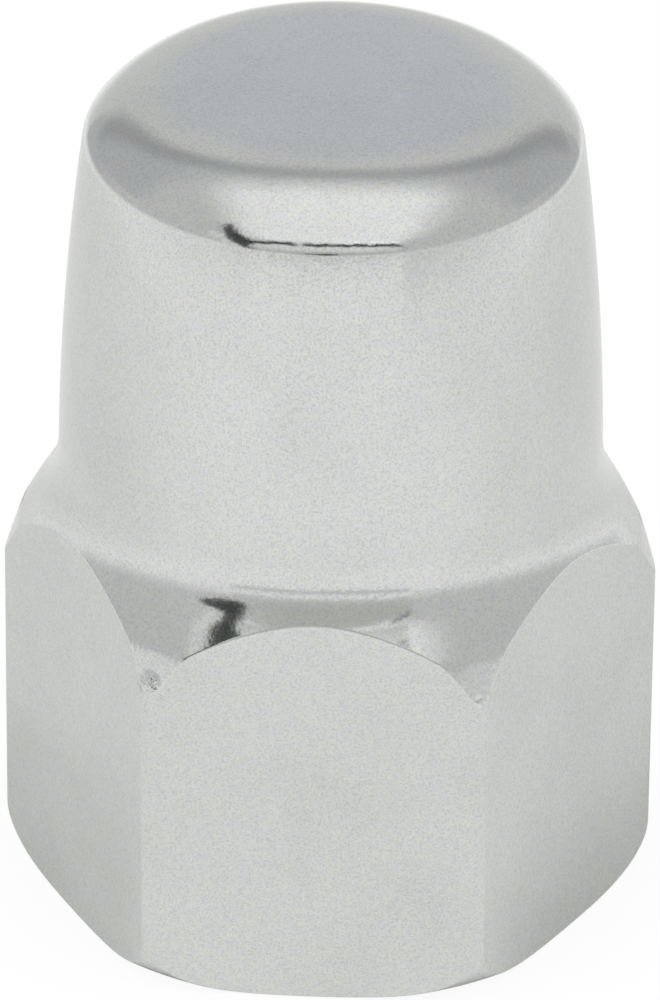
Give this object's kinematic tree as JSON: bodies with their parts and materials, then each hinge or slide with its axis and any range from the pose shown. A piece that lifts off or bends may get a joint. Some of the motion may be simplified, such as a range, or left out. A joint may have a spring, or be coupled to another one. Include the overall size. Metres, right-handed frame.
{
  "type": "hexagon cap nut",
  "caption": "Tall closed-end cap nut with a hexagon base, a turned shoulder and a blind threaded bore, for covering and clamping the end of a threaded axle.",
  "frame": {"origin": "centre of the flat bearing face, at the bottom of the nut", "axes": "+Z along the bore and out through the domed crown, -Y square to one flat of the hexagon, +X along that flat"},
  "size_m": [0.0172, 0.015, 0.0233],
  "materials": {
    "chrome_plate": "bright chrome plate on steel, with a fine grain and slightly soft reflections"
  },
  "bodies": {
    "root": {"cap_nut": "chrome_plate"}
  },
  "joints": []
}
